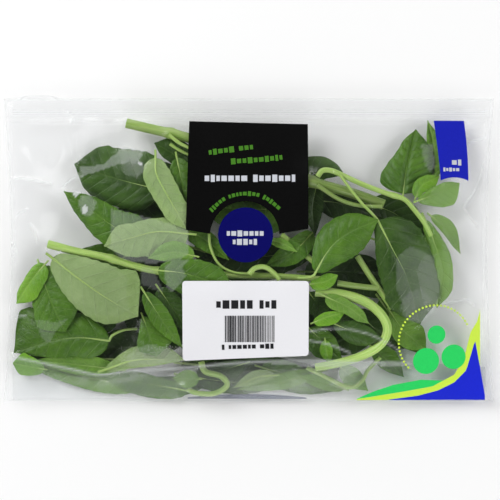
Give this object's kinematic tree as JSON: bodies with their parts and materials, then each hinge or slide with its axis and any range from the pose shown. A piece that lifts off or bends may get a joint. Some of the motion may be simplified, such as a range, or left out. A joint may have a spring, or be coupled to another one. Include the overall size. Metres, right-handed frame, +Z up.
{
  "type": "bag of cut basil sprigs",
  "caption": "Loose cut basil leaves and stems held in a flat clear press-seal bag with a folded bottom and plain unprinted labels, lying on its back.",
  "frame": {"origin": "on the surface, under the middle of the bag", "axes": "+X along the bag's long side, +Y towards its zip, +Z up out of the front film"},
  "size_m": [0.247, 0.154, 0.026],
  "materials": {
    "basil_leaf": null,
    "basil_stem": "fresh green stalk: smooth, moist, slightly ridged (matte_plastic stands in for plant tissue)",
    "clear_film": "clear glossy polythene film, slightly milky",
    "zip_strip": "clear press-seal strip",
    "black_print": "solid black printed panel, satin",
    "navy_print": "solid navy round patch, satin",
    "white_sticker": "white coated paper sticker, satin",
    "blue_print": "solid blue print on the film"
  },
  "bodies": {
    "root": {"back_film": "clear_film", "bottom_gusset": "clear_film", "corner_print": "blue_print", "disc_label": "navy_print", "front_film": "clear_film", "leaf_behind_arch": "basil_leaf", "leaf_big_pale": "basil_leaf", "leaf_centre_right": "basil_leaf", "leaf_deep_centre": "basil_leaf", "leaf_deep_corner": "basil_leaf", "leaf_deep_left": "basil_leaf", "leaf_deep_right": "basil_leaf", "leaf_deep_top_right": "basil_leaf", "leaf_disc_left": "basil_leaf", "leaf_edge_low_left": "basil_leaf", "leaf_fold_centre": "basil_leaf", "leaf_fold_left": "basil_leaf", "leaf_fold_long": "basil_leaf", "leaf_fold_right": "basil_leaf", "leaf_fold_round": "basil_leaf", "leaf_left_broad": "basil_leaf", "leaf_left_curl": "basil_leaf", "leaf_left_olive": "basil_leaf", "leaf_loop_dark": "basil_leaf", "leaf_loop_pale": "basil_leaf", "leaf_low_left_bright": "basil_leaf", "leaf_low_left_pale": "basil_leaf", "leaf_low_right": "basil_leaf", "leaf_mid_left_pale": "basil_leaf", "leaf_panel_left_dark": "basil_leaf", "leaf_panel_left_pale": "basil_leaf", "leaf_panel_left_strip": "basil_leaf", "leaf_panel_right_dark": "basil_leaf", "leaf_right_broad": "basil_leaf", "leaf_right_edge": "basil_leaf", "leaf_right_pucker": "basil_leaf", "leaf_shoot_lower": "basil_leaf", "leaf_shoot_narrow": "basil_leaf", "leaf_shoot_upper": "basil_leaf", "leaf_sticker_left_dark": "basil_leaf", "leaf_sticker_left_mid": "basil_leaf", "leaf_sticker_right_low": "basil_leaf", "leaf_sticker_right_tip": "basil_leaf", "leaf_sticker_top_left": "basil_leaf", "leaf_top_left_broad": "basil_leaf", "leaf_top_left_low": "basil_leaf", "leaf_triangle": "basil_leaf", "panel_label": "black_print", "price_sticker": "white_sticker", "side_tag": "blue_print", "stem_curl": "basil_stem", "stem_hook": "basil_stem", "stem_left": "basil_stem", "stem_long": "basil_stem", "stem_loop": "basil_stem", "stem_middle": "basil_stem", "stem_short_cut": "basil_stem", "stem_thin_loop": "basil_stem", "zip_channel": "zip_strip", "zip_rib": "zip_strip"}
  },
  "joints": []
}
